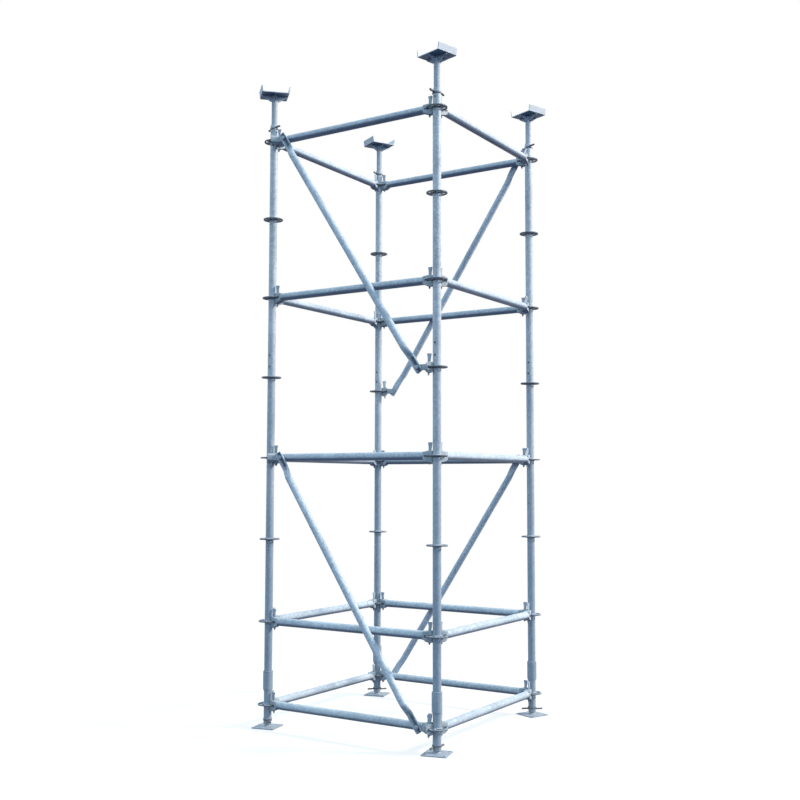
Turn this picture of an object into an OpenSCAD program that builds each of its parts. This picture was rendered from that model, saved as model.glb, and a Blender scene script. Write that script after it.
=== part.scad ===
// Ring lock shoring tower: four tubular legs with ring plates every half metre,
// wedge-headed ledgers on all four sides, diagonal braces on two sides,
// screw jacks with base plates below and screw jacks with U-heads on top.
// Units are millimetres. Z = 0 is the ground, the tower stands centred on the origin.
// The front side faces -Y and the right side faces +X.

/* [Bay] */
// Distance between leg axes along X
bay_x = 1200; // [700:10:3000]
// Distance between leg axes along Y
bay_y = 1200; // [700:10:3000]
// Vertical distance from one ring plate to the next
ring_pitch = 500; // [400:5:600]
// Height of the lowest ring plate above the ground
first_ring = 138; // [130:1:300]

/* [Legs] */
// Outer diameter of the leg and ledger tubes
tube_diameter = 48.3; // [40:0.1:62]
// Wall thickness of the leg tubes
leg_wall = 3.2; // [2.5:0.1:4]
// Height of the joint between lower and upper leg above the fifth ring plate
joint_above = 102; // [80:1:160]
// Height of the top end of the upper leg above the eighth ring plate
top_above = 78; // [78:1:160]
// Diameter of the lock holes in the legs
lock_hole = 12; // [8:0.5:16]
// Distance from a tube end to its lock hole
lock_offset = 35; // [30:1:60]

/* [Spigot] */
// Half length of the spigot inside the leg joint
spigot_half = 100; // [60:1:200]
// Wall thickness of the spigot
spigot_wall = 3.6; // [2.5:0.1:5]

/* [Base collar] */
// Height of the collar's lower end above the ground
collar_bottom = 52; // [52:1:120]
// Height of the socket ledge above the first ring plate
ledge_above = 90; // [80:1:140]
// Height of the socket mouth above the first ring plate
socket_above = 200; // [150:1:300]
// Wall thickness of the socket
socket_wall = 5.6; // [3:0.1:8]

/* [Ring plates] */
// Outer diameter of the ring plates
ring_diameter = 123; // [118:1:150]
// Thickness of the ring plates
ring_thickness = 9; // [8:0.5:12]
// Width of the rim outside the windows
rim_width = 7.5; // [6:0.5:12]
// Half angle of the four ledger windows
small_window = 13; // [10:0.5:15]
// Half angle of the four brace windows
large_window = 22; // [16:0.5:24]

/* [Ledgers] */
// Wall thickness of the ledger tubes
ledger_wall = 2.7; // [2:0.1:4]
// Gap from the rim of a ring plate to the end of a ledger tube
ledger_gap = 20.5; // [17:0.5:60]
// Height of a wedge head above the ring plate's middle
head_up = 29; // [24:1:40]
// Depth of a wedge head below the ring plate's middle
head_down = 38; // [24:1:50]

/* [Wedges] */
// Thickness of the wedges
wedge_thickness = 6; // [4:0.5:8]
// Height of a wedge above the ring plate's middle
wedge_up = 76; // [55:1:110]
// Depth of a wedge below the ring plate's middle
wedge_down = 50; // [42:1:80]
// Width of a wedge where it enters its head
wedge_width = 16; // [12:0.5:20]

/* [Braces] */
// Outer diameter of the brace tubes
brace_diameter = 42.4; // [32:0.1:50]
// Wall thickness of the brace tubes
brace_wall = 2.6; // [2:0.1:4]
// Gap from the rim of a ring plate to the brace rivet, along the bay
rivet_gap = 46.5; // [42:0.5:90]
// Width of the flattened brace end
blade_width = 46; // [38:1:60]
// Thickness of the flattened brace end
blade_thickness = 10; // [6:0.5:14]
// Length of the brace end beyond its rivet
blade_over = 34; // [24:1:50]
// Diameter of the brace rivets
rivet_diameter = 16; // [10:0.5:20]

/* [Jacks] */
// Outer diameter of the jack spindles
spindle_diameter = 38; // [30:0.1:40]
// Wall thickness of the jack spindles
spindle_wall = 5; // [3:0.1:8]
// Length of the base spindles
base_spindle_length = 480; // [400:5:700]
// Length of the head spindles
head_spindle_length = 520; // [400:5:800]
// Radial clearance between spindle and nut
nut_clearance = 0.08; // [0.02:0.01:0.1]
// Height of the jack nuts
nut_height = 34; // [24:1:50]
// Outer diameter of the jack nuts
nut_diameter = 56; // [50:1:70]
// Reach of the nut handles from the leg axis
handle_reach = 68; // [60:1:110]

/* [Base plates] */
// Side length of the square base plates
plate_side = 145; // [120:1:200]
// Thickness of the base plates
plate_thickness = 6; // [5:0.5:12]
// Diameter of the fixing holes in the base plates
plate_hole = 13; // [8:0.5:18]
// Distance from the leg axis to a fixing hole
plate_hole_radius = 76; // [65:1:90]

/* [U-heads] */
// Height of the U-head's underside above the upper leg's top end
head_above = 221; // [205:1:340]
// Outer width of the U-head across its flanges
head_width = 172; // [140:1:220]
// Length of the U-head along its flanges
head_length = 148; // [100:1:220]
// Thickness of the U-head plate
head_plate = 6; // [5:0.5:10]
// Height of the flanges above the U-head plate
flange_height = 37; // [30:1:80]
// Outward lean of the flanges in degrees
flange_lean = 8; // [0:0.5:12]
// Depth of the gussets under the U-head
gusset_depth = 38; // [25:1:60]

/* [Hidden] */
$fn = 64;

// Legs in the order front right, front left, back right, back left
leg_x = [bay_x / 2, -bay_x / 2, bay_x / 2, -bay_x / 2];
leg_y = [-bay_y / 2, -bay_y / 2, bay_y / 2, bay_y / 2];
// Turn of each base plate, base nut, U-head and head nut in degrees
plate_turn = [14, 13, -22, 14];
base_nut_turn = [75, -48, 26, 32];
u_head_turn = [-15, 46, -20, 62];
head_nut_turn = [73, 150, 141, 78];

tube_radius = tube_diameter / 2;
leg_bore = tube_radius - leg_wall;
ledger_bore = tube_radius - ledger_wall;
spindle_radius = spindle_diameter / 2;
spindle_bore = spindle_radius - spindle_wall;
brace_radius = brace_diameter / 2;

joint_height = first_ring + 4 * ring_pitch + joint_above;
top_height = first_ring + 7 * ring_pitch + top_above;
head_height = top_height + head_above;
leg_bottom = first_ring + ledge_above + 0.2;
socket_bore = tube_radius + 0.3;
socket_radius = socket_bore + socket_wall;

ring_radius = ring_diameter / 2;
window_out = ring_radius - rim_width;
window_in = tube_radius + 7.35;
ledger_start = ring_radius + ledger_gap;
rivet_along = ring_radius + rivet_gap;

// Heads: front face, slot for the ring plate and slot for the wedge
head_front = tube_radius + 0.6;
slot_radius = ring_radius + 1.2;
slot_height = ring_thickness + 1.2;
wedge_back = window_out - 0.2;
wedge_tip_width = wedge_width * 0.62;
sector = 21.5;

// Brace: lug outside the ledger head, flattened end outside the lug
lug_in = tube_radius + 1.4;
lug_out = lug_in + 8.4;
lug_half = 17;
blade_in = lug_out + 0.35;
blade_out = blade_in + blade_thickness;
rivet_radius = rivet_diameter / 2;
brace_run = bay_x - 2 * rivet_along;
brace_rise = 3 * ring_pitch;
brace_length = sqrt(brace_run * brace_run + brace_rise * brace_rise);
brace_angle = atan2(brace_rise, brace_run);
blade_run = 66;
taper_run = 86;

// Jack nuts: handles sit this far from the end that bears on the leg tube
handle_from_end = 12;
handle_curve = 70;

function ring_height(level) = first_ring + (level - 1) * ring_pitch;

module at_leg(i, z) {
    translate([leg_x[i], leg_y[i], z])
        children();
}

module tube(length, outer, inner) {
    difference() {
        cylinder(h = length, r = outer);
        translate([0, 0, -1])
            cylinder(h = length + 2, r = inner);
    }
}

module lock_holes(z) {
    translate([0, 0, z])
        rotate([90, 0, 0])
            cylinder(h = 4 * tube_radius, d = lock_hole, center = true);
}

// ---------------------------------------------------------------- legs

module standard_lower(i) {
    color("LightSteelBlue")
        at_leg(i, 0)
            difference() {
                translate([0, 0, leg_bottom])
                    tube(joint_height - leg_bottom, tube_radius, leg_bore);
                lock_holes(joint_height - lock_offset);
            }
}

module standard_upper(i) {
    color("LightSteelBlue")
        at_leg(i, 0)
            difference() {
                translate([0, 0, joint_height])
                    tube(top_height - joint_height, tube_radius, leg_bore);
                lock_holes(joint_height + lock_offset);
                lock_holes(top_height - lock_hole - 8);
            }
}

module spigot_profile() {
    polygon([
        [leg_bore - spigot_wall, -spigot_half],
        [leg_bore - 2.1, -spigot_half],
        [leg_bore - 0.1, -spigot_half + 4],
        [leg_bore - 0.1, -1],
        [leg_bore - 0.5, 1],
        [leg_bore - 0.5, spigot_half - 14],
        [leg_bore - 2.4, spigot_half],
        [leg_bore - spigot_wall, spigot_half]
    ]);
}

module spigots() {
    color("Silver")
        for (i = [0:3])
            at_leg(i, joint_height)
                difference() {
                    rotate_extrude()
                        spigot_profile();
                    lock_holes(lock_offset);
                    lock_holes(-lock_offset);
                }
}

module collar_profile() {
    polygon([
        [leg_bore, collar_bottom],
        [tube_radius, collar_bottom],
        [tube_radius, first_ring + ledge_above - 12],
        [socket_radius, first_ring + ledge_above + 2],
        [socket_radius, first_ring + socket_above - 2],
        [socket_radius - 2, first_ring + socket_above],
        [socket_bore, first_ring + socket_above],
        [socket_bore, first_ring + ledge_above],
        [leg_bore, first_ring + ledge_above]
    ]);
}

module base_collar(i) {
    color("LightSteelBlue")
        at_leg(i, 0)
            rotate_extrude()
                collar_profile();
}

// ---------------------------------------------------------------- ring plates

module ring_profile() {
    polygon([
        [tube_radius + 0.05, -ring_thickness / 2 - 4],
        [tube_radius + 1, -ring_thickness / 2 - 4],
        [tube_radius + 5, -ring_thickness / 2],
        [ring_radius - 1.5, -ring_thickness / 2],
        [ring_radius, -ring_thickness / 2 + 1.5],
        [ring_radius, ring_thickness / 2 - 1.5],
        [ring_radius - 1.5, ring_thickness / 2],
        [tube_radius + 5, ring_thickness / 2],
        [tube_radius + 1, ring_thickness / 2 + 4],
        [tube_radius + 0.05, ring_thickness / 2 + 4]
    ]);
}

module window(half_angle) {
    reach = ring_radius * 1.2;
    linear_extrude(height = ring_thickness + 2, center = true)
        intersection() {
            difference() {
                circle(r = window_out);
                circle(r = window_in);
            }
            polygon([
                [0, 0],
                [reach * cos(half_angle), -reach * sin(half_angle)],
                [reach * cos(half_angle), reach * sin(half_angle)]
            ]);
        }
}

// Eight shallow scallops in the rim, one beside each web
module scallops() {
    for (a = [0:7])
        rotate(a * 45 + 22.5 + (a % 2 == 0 ? -4.5 : 4.5))
            translate([ring_radius + 18, 0, 0])
                cylinder(h = ring_thickness + 2, r = 20, center = true);
}

module ring_plate() {
    difference() {
        rotate_extrude()
            ring_profile();
        for (a = [0:3])
            rotate(a * 90)
                window(small_window);
        for (a = [0:3])
            rotate(a * 90 + 45)
                window(large_window);
        scallops();
    }
}

module ring_plates(i) {
    color("SlateGray")
        for (level = [1:8])
            at_leg(i, ring_height(level))
                ring_plate();
}

// ---------------------------------------------------------------- ledgers

// The four sides, counter-clockwise from the front, each from its first leg
module each_side() {
    for (s = [0:3])
        rotate(s * 90)
            translate([s % 2 == 0 ? -bay_x / 2 : -bay_y / 2, s % 2 == 0 ? -bay_y / 2 : -bay_x / 2, 0])
                children();
}

// Both ends of each side, the child's +X axis pointing along the ledger
module each_end() {
    for (s = [0:3])
        rotate(s * 90)
            for (e = [-1, 1])
                translate([
                    e * (s % 2 == 0 ? bay_x : bay_y) / 2,
                    -(s % 2 == 0 ? bay_y : bay_x) / 2,
                    0
                ])
                    rotate(e < 0 ? 0 : 180)
                        children();
}

module head_side_profile() {
    polygon([
        [tube_radius - 4, 8],
        [tube_radius + 1, head_up - 5],
        [tube_radius + 8, head_up],
        [ring_radius - 4, head_up],
        [ring_radius + 12, tube_radius - 0.6],
        [ledger_start - 1, tube_radius - 0.6],
        [ledger_start - 1, -tube_radius + 0.6],
        [ring_radius + 12, -tube_radius + 0.6],
        [ring_radius - 4, -head_down + 3],
        [tube_radius + 14, -head_down],
        [tube_radius + 4, -head_down + 2],
        [tube_radius - 4, -head_down + 14]
    ]);
}

module sector_plan(length, half_width) {
    near = tube_radius - 6;
    far = half_width / tan(sector);
    polygon([
        [near, -near * tan(sector)],
        [far, -half_width],
        [length, -half_width],
        [length, half_width],
        [far, half_width],
        [near, near * tan(sector)]
    ]);
}

module leg_relief() {
    cylinder(h = 6 * tube_radius, r = head_front, center = true);
    cylinder(h = ring_thickness + 10, r = tube_radius + 5.6, center = true);
    cylinder(h = slot_height, r = slot_radius, center = true);
}

module wedge_slot() {
    translate([wedge_back - wedge_width - 0.4, -wedge_thickness / 2 - 0.3, -100])
        cube([wedge_width + 0.8, wedge_thickness + 0.6, 200]);
}

module ledger_head() {
    difference() {
        union() {
            intersection() {
                rotate([90, 0, 0])
                    linear_extrude(height = 2 * tube_radius + 4, center = true)
                        head_side_profile();
                linear_extrude(height = 4 * tube_radius, center = true)
                    sector_plan(ledger_start, tube_radius - 0.5);
                translate([0, 0, -4])
                    rotate([0, 90, 0])
                        cylinder(h = ledger_start + 10, r = head_down - 3);
            }
            translate([ledger_start - 12, 0, 0])
                rotate([0, 90, 0])
                    cylinder(h = 12, r = tube_radius);
            translate([ledger_start - 1, 0, 0])
                rotate([0, 90, 0])
                    cylinder(h = 19, r = ledger_bore - 0.2);
        }
        leg_relief();
        wedge_slot();
        // lightening pockets in both cheeks
        for (side = [-1, 1])
            translate([ring_radius + 2, side * (tube_radius + 5), -3])
                rotate([90, 0, 0])
                    cylinder(h = 22, r = 7, center = true);
    }
}

module ledger_heads(level) {
    color("Gainsboro")
        each_end()
            translate([0, 0, ring_height(level)])
                ledger_head();
}

module ledger_tubes(level) {
    color("LightSteelBlue")
        for (s = [0:3])
            rotate(s * 90)
                translate([
                    -(s % 2 == 0 ? bay_x : bay_y) / 2 + ledger_start,
                    -(s % 2 == 0 ? bay_y : bay_x) / 2,
                    ring_height(level)
                ])
                    rotate([0, 90, 0])
                        tube((s % 2 == 0 ? bay_x : bay_y) - 2 * ledger_start, tube_radius, ledger_bore);
}

module wedge_profile() {
    polygon([
        [wedge_back - wedge_tip_width + 3, -wedge_down],
        [wedge_back - 2, -wedge_down],
        [wedge_back, -wedge_down + 6],
        [wedge_back, wedge_up - 20],
        [wedge_back + 3, wedge_up - 9],
        [wedge_back + 3.5, wedge_up - 3],
        [wedge_back + 1.5, wedge_up],
        [wedge_back - wedge_width - 5, wedge_up],
        [wedge_back - wedge_width - 7, wedge_up - 3],
        [wedge_back - wedge_width - 5.5, wedge_up - 12],
        [wedge_back - wedge_width, head_up],
        [wedge_back - wedge_tip_width, -head_down],
        [wedge_back - wedge_tip_width, -wedge_down + 4]
    ]);
}

module wedge() {
    difference() {
        rotate([90, 0, 0])
            linear_extrude(height = wedge_thickness, center = true)
                wedge_profile();
        translate([wedge_back - wedge_tip_width / 2, 0, -wedge_down + 7])
            rotate([90, 0, 0])
                cylinder(h = wedge_thickness + 2, r = 2, center = true);
    }
}

module ledger_wedges() {
    color("DimGray")
        for (level = [1, 2, 4, 6, 8])
            each_end()
                translate([0, 0, ring_height(level)])
                    wedge();
}

// ---------------------------------------------------------------- braces

// Both braces of the front: upper end on the left leg, lower end on the right leg
module each_brace() {
    for (level = [4, 8])
        translate([-bay_x / 2 + rivet_along, -bay_y / 2, ring_height(level)])
            rotate([0, brace_angle, 0])
                children();
}

// All brace ends, the child's +X axis along the bay and -Y axis outwards
module each_brace_end() {
    for (turn = [0, 180])
        rotate(turn) {
            for (level = [4, 8])
                translate([-bay_x / 2, -bay_y / 2, ring_height(level)])
                    children();
            for (level = [1, 5])
                translate([bay_x / 2, -bay_y / 2, ring_height(level)])
                    mirror([1, 0, 0])
                        children();
        }
}

module blade_plan() {
    polygon([
        [-blade_over, -blade_width / 2 + 7],
        [-blade_over + 7, -blade_width / 2],
        [blade_run, -blade_width / 2],
        [blade_run, blade_width / 2],
        [-blade_over + 7, blade_width / 2],
        [-blade_over, blade_width / 2 - 7]
    ]);
}

// Flattened end with its taper into the round tube, the rivet at the origin
module brace_end() {
    difference() {
        translate([0, -blade_in, 0])
            rotate([90, 0, 0])
                linear_extrude(height = blade_thickness)
                    blade_plan();
        translate([0, -blade_in, 0])
            rotate([90, 0, 0])
                cylinder(h = 3 * blade_thickness, r = rivet_radius + 0.3, center = true);
        translate([20, -blade_out - 1, -blade_width / 2 + 8])
            cube([blade_run - 19, 4.5, blade_width - 16]);
    }
    hull() {
        translate([blade_run - 1, -blade_out, -blade_width / 2])
            cube([1, blade_thickness, blade_width]);
        translate([blade_run + taper_run, -blade_in - brace_radius, 0])
            rotate([0, 90, 0])
                cylinder(h = 1, r = brace_radius, $fn = 32);
    }
}

module brace() {
    straight = brace_length - 2 * (blade_run + taper_run);
    brace_end();
    translate([brace_length, 0, 0])
        mirror([1, 0, 0])
            brace_end();
    translate([blade_run + taper_run, -blade_in - brace_radius, 0])
        rotate([0, 90, 0])
            tube(straight, brace_radius, brace_radius - brace_wall);
}

module brace_tubes_front() {
    color("LightSteelBlue")
        each_brace()
            brace();
}

module brace_tubes_back() {
    color("LightSteelBlue")
        rotate(180)
            each_brace()
                brace();
}

module brace_head_profile() {
    polygon([
        [tube_radius - 4, head_up - 7],
        [tube_radius + 8, head_up - 2],
        [ring_radius - 6, head_up - 2],
        [ring_radius + 5, 14],
        [ring_radius + 5, -14],
        [ring_radius - 6, -head_down + 8],
        [tube_radius + 10, -head_down + 4],
        [tube_radius - 4, -head_down + 12]
    ]);
}

module brace_head() {
    difference() {
        union() {
            rotate(-45)
                intersection() {
                    rotate([90, 0, 0])
                        linear_extrude(height = 3 * tube_radius, center = true)
                            brace_head_profile();
                    linear_extrude(height = 4 * tube_radius, center = true)
                        sector_plan(ring_radius + 5, (ring_radius + 5) * tan(sector));
                }
            translate([tube_radius + 14, -lug_out, -lug_half])
                cube([rivet_along - tube_radius - 14, lug_out - lug_in, 2 * lug_half]);
            translate([rivet_along, -lug_in, 0])
                rotate([90, 0, 0])
                    cylinder(h = lug_out - lug_in, r = lug_half);
        }
        leg_relief();
        rotate(-45)
            wedge_slot();
        translate([rivet_along, -lug_in, 0])
            rotate([90, 0, 0])
                cylinder(h = 40, r = rivet_radius + 0.3, center = true);
    }
}

module brace_heads() {
    color("Gainsboro")
        each_brace_end()
            brace_head();
}

module brace_wedges() {
    color("DimGray")
        each_brace_end()
            rotate(-45)
                wedge();
}

module rivet_profile() {
    polygon([
        [0, lug_in + 0.2],
        [rivet_radius - 1, lug_in + 0.2],
        [rivet_radius, lug_in + 1.2],
        [rivet_radius, blade_out + 0.2],
        [rivet_radius + 5, blade_out + 0.2],
        [rivet_radius + 4.2, blade_out + 3],
        [rivet_radius, blade_out + 5.2],
        [0, blade_out + 6.2]
    ]);
}

module brace_rivets() {
    color("Silver")
        each_brace_end()
            translate([rivet_along, 0, 0])
                rotate([90, 0, 0])
                    rotate_extrude()
                        rivet_profile();
}

// ---------------------------------------------------------------- jacks

module spindle(length) {
    tube(length, spindle_radius, spindle_bore);
}

module base_spindle(i) {
    color("Silver")
        at_leg(i, plate_thickness)
            spindle(base_spindle_length);
}

module head_spindle(i) {
    color("Silver")
        at_leg(i, head_height - head_spindle_length)
            spindle(head_spindle_length);
}

// Nut with its tube end up, the bearing face at Z = 0 and the body below
module nut_profile() {
    bore = spindle_radius + nut_clearance;
    polygon([
        [bore, -nut_height + 1.5],
        [bore + 1.5, -nut_height],
        [nut_diameter / 2 - 7, -nut_height],
        [nut_diameter / 2 - 5.5, -nut_height + 1.5],
        [nut_diameter / 2 - 1.5, -7],
        [nut_diameter / 2, -5.5],
        [nut_diameter / 2, -1.5],
        [nut_diameter / 2 - 1.5, 0],
        [bore + 1.5, 0],
        [bore, -1.5]
    ]);
}

module handle_section() {
    polygon([
        [handle_curve - 6.5, -2.5],
        [handle_curve - 4.5, -4.5],
        [handle_curve + 4.5, -4.5],
        [handle_curve + 6.5, -2.5],
        [handle_curve + 6.5, 2.5],
        [handle_curve + 4.5, 4.5],
        [handle_curve - 4.5, 4.5],
        [handle_curve - 6.5, 2.5]
    ]);
}

// One handle: a bar that leaves the nut radially and curves round in plan
module handle() {
    root = nut_diameter / 2 - 6;
    sweep = 2 * asin(min(0.9, (handle_reach - 6.5 - root) / (2 * handle_curve)));
    difference() {
        union() {
            translate([root, handle_curve, 0])
                rotate(-90)
                    rotate_extrude(angle = sweep)
                        handle_section();
            translate([root + handle_curve * sin(sweep), handle_curve * (1 - cos(sweep)), 0])
                cylinder(h = 9, r = 6.5, center = true);
        }
        cylinder(h = 40, r = spindle_radius + 2, center = true);
    }
}

module jack_nut() {
    rotate_extrude()
        nut_profile();
    for (a = [0, 180])
        rotate(a)
            translate([0, 0, -handle_from_end])
                handle();
}

module base_nut(i) {
    color("DimGray")
        at_leg(i, collar_bottom - 0.2)
            rotate(base_nut_turn[i])
                jack_nut();
}

module head_nut(i) {
    color("DimGray")
        at_leg(i, top_height + 0.2)
            rotate(head_nut_turn[i])
                mirror([0, 0, 1])
                    jack_nut();
}

module base_plate(i) {
    color("LightSlateGray")
        at_leg(i, 0)
            difference() {
                union() {
                    rotate(plate_turn[i])
                        translate([-plate_side / 2, -plate_side / 2, 0])
                            cube([plate_side, plate_side, plate_thickness]);
                    translate([0, 0, plate_thickness - 1])
                        cylinder(h = 6, r1 = spindle_radius + 6, r2 = spindle_radius + 0.8);
                }
                translate([0, 0, plate_thickness])
                    cylinder(h = 20, r = spindle_radius + 0.05);
                for (a = [0:3])
                    rotate(plate_turn[i] + 45 + 90 * a)
                        translate([plate_hole_radius, 0, -1])
                            cylinder(h = plate_thickness + 2, d = plate_hole);
            }
}

module u_profile() {
    half = head_width / 2;
    lean = flange_height * tan(flange_lean);
    top = head_plate + flange_height;
    polygon([
        [-half + 3, 0],
        [half - 3, 0],
        [half, 3],
        [half, head_plate],
        [half + lean, top],
        [half + lean - head_plate, top],
        [half - head_plate, head_plate],
        [-half + head_plate, head_plate],
        [-half - lean + head_plate, top],
        [-half - lean, top],
        [-half, head_plate],
        [-half, 3]
    ]);
}

module gusset(reach) {
    rotate([90, 0, 0])
        linear_extrude(height = head_plate, center = true)
            polygon([
                [spindle_radius - 2, 0],
                [reach, 0],
                [reach, -5],
                [spindle_radius + 3, -gusset_depth],
                [spindle_radius - 2, -gusset_depth]
            ]);
}

module u_head(i) {
    color("LightSlateGray")
        at_leg(i, head_height)
            rotate(u_head_turn[i]) {
                rotate([90, 0, 0])
                    linear_extrude(height = head_length, center = true)
                        u_profile();
                difference() {
                    union() {
                        for (a = [0, 180])
                            rotate(a)
                                gusset(head_width / 2 - 6);
                        for (a = [90, 270])
                            rotate(a)
                                gusset(head_length / 2 - 6);
                    }
                    translate([0, 0, -2 * gusset_depth])
                        cylinder(h = 2 * gusset_depth, r = spindle_radius + 0.05);
                }
            }
}

// ---------------------------------------------------------------- sub-parts

module standard_lower_front_right() standard_lower(0);
module standard_lower_front_left() standard_lower(1);
module standard_lower_back_right() standard_lower(2);
module standard_lower_back_left() standard_lower(3);
module standard_upper_front_right() standard_upper(0);
module standard_upper_front_left() standard_upper(1);
module standard_upper_back_right() standard_upper(2);
module standard_upper_back_left() standard_upper(3);
module ring_plates_front_right() ring_plates(0);
module ring_plates_front_left() ring_plates(1);
module ring_plates_back_right() ring_plates(2);
module ring_plates_back_left() ring_plates(3);
module base_collar_front_right() base_collar(0);
module base_collar_front_left() base_collar(1);
module base_collar_back_right() base_collar(2);
module base_collar_back_left() base_collar(3);
module ledger_tubes_level_1() ledger_tubes(1);
module ledger_tubes_level_2() ledger_tubes(2);
module ledger_tubes_level_4() ledger_tubes(4);
module ledger_tubes_level_6() ledger_tubes(6);
module ledger_tubes_level_8() ledger_tubes(8);
module ledger_heads_level_1() ledger_heads(1);
module ledger_heads_level_2() ledger_heads(2);
module ledger_heads_level_4() ledger_heads(4);
module ledger_heads_level_6() ledger_heads(6);
module ledger_heads_level_8() ledger_heads(8);
module base_plate_front_right() base_plate(0);
module base_plate_front_left() base_plate(1);
module base_plate_back_right() base_plate(2);
module base_plate_back_left() base_plate(3);
module base_spindle_front_right() base_spindle(0);
module base_spindle_front_left() base_spindle(1);
module base_spindle_back_right() base_spindle(2);
module base_spindle_back_left() base_spindle(3);
module base_nut_front_right() base_nut(0);
module base_nut_front_left() base_nut(1);
module base_nut_back_right() base_nut(2);
module base_nut_back_left() base_nut(3);
module u_head_front_right() u_head(0);
module u_head_front_left() u_head(1);
module u_head_back_right() u_head(2);
module u_head_back_left() u_head(3);
module head_spindle_front_right() head_spindle(0);
module head_spindle_front_left() head_spindle(1);
module head_spindle_back_right() head_spindle(2);
module head_spindle_back_left() head_spindle(3);
module head_nut_front_right() head_nut(0);
module head_nut_front_left() head_nut(1);
module head_nut_back_right() head_nut(2);
module head_nut_back_left() head_nut(3);

// ---- build list
standard_lower_front_right();
standard_lower_front_left();
standard_lower_back_right();
standard_lower_back_left();
standard_upper_front_right();
standard_upper_front_left();
standard_upper_back_right();
standard_upper_back_left();
spigots();
ring_plates_front_right();
ring_plates_front_left();
ring_plates_back_right();
ring_plates_back_left();
base_collar_front_right();
base_collar_front_left();
base_collar_back_right();
base_collar_back_left();
ledger_tubes_level_1();
ledger_tubes_level_2();
ledger_tubes_level_4();
ledger_tubes_level_6();
ledger_tubes_level_8();
ledger_heads_level_1();
ledger_heads_level_2();
ledger_heads_level_4();
ledger_heads_level_6();
ledger_heads_level_8();
ledger_wedges();
brace_tubes_front();
brace_tubes_back();
brace_heads();
brace_wedges();
brace_rivets();
base_plate_front_right();
base_plate_front_left();
base_plate_back_right();
base_plate_back_left();
base_spindle_front_right();
base_spindle_front_left();
base_spindle_back_right();
base_spindle_back_left();
base_nut_front_right();
base_nut_front_left();
base_nut_back_right();
base_nut_back_left();
u_head_front_right();
u_head_front_left();
u_head_back_right();
u_head_back_left();
head_spindle_front_right();
head_spindle_front_left();
head_spindle_back_right();
head_spindle_back_left();
head_nut_front_right();
head_nut_front_left();
head_nut_back_right();
head_nut_back_left();
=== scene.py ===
"""Looks of a ring lock shoring tower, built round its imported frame.

The frame carries the construction and is never moved.  This script rounds the
edges of the forged, cast and cut pieces, rolls the thread of the jack spindles,
flattens and dishes the brace ends, lays the weld beads, sets pins and washers, and
gives every piece its zinc or steel finish.  Units are metres, Z is up and the
ground is at Z = 0.
"""

import logging
import math
from dataclasses import dataclass
from enum import Enum
from typing import Callable

import bmesh
import bpy
from mathutils import Matrix, Vector


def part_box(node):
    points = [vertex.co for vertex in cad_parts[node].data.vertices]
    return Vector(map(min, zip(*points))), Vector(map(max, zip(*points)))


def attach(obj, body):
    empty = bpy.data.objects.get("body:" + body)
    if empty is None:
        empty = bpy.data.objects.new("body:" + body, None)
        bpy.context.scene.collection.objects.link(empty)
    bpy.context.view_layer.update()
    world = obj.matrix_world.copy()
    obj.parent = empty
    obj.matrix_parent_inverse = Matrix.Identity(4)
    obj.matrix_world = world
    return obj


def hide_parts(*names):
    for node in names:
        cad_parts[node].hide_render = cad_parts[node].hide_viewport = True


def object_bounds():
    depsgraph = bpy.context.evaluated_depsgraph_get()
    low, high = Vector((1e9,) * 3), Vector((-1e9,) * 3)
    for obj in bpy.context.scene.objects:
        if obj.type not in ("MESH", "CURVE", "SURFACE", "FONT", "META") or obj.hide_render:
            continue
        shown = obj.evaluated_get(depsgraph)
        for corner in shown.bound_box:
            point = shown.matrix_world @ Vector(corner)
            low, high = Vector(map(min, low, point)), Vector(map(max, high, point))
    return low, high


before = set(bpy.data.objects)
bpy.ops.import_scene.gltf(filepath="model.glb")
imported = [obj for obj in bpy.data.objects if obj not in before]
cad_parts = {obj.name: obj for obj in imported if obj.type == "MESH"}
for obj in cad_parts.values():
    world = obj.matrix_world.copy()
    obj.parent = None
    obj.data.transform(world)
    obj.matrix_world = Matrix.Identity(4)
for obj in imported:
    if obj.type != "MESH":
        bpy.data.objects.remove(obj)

LOG = logging.getLogger("tower")
CAD_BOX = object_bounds()
LOW_SHADE_FADE = (0.8, 2.6)  # heights where the painted shade on the lower tower starts to fade and is gone
LEVELS = 8  # ring plates on a leg
LEDGER_LEVELS = (1, 2, 4, 6, 8)
RING_HALF = 0.0085  # from a ring plate's middle to the end of its solid
TUBE_RADIUS = 0.02415  # of legs and ledgers
MERGE = 0.00002  # points closer than this are one
PLANE = math.radians(1.0)  # faces that turn less are one plane
TOWER = "tower"
Colour = tuple[float, float, float]
Piece = bpy.types.Object
Socket = bpy.types.NodeSocket


class Leg(Enum):
    """The four legs; each value ends the names of that leg's nodes and bodies."""

    FRONT_RIGHT = "front_right"
    FRONT_LEFT = "front_left"
    BACK_RIGHT = "back_right"
    BACK_LEFT = "back_left"

    def axis(self) -> Vector:
        """The foot of the leg's axis on the ground."""
        low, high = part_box(f"standard_lower_{self.value}")
        return Vector(((low.x + high.x) / 2, (low.y + high.y) / 2, 0.0))

    def at(self, height: float) -> Matrix:
        """The place on the leg's axis at a height."""
        return Matrix.Translation(self.axis() + Vector((0, 0, height)))


class Along(Enum):
    """Turns that lay a piece made about Z along another axis."""

    X = Matrix.Rotation(math.pi / 2, 4, "Y")
    Y = Matrix.Rotation(math.pi / 2, 4, "X")


# ---- node trees


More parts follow.
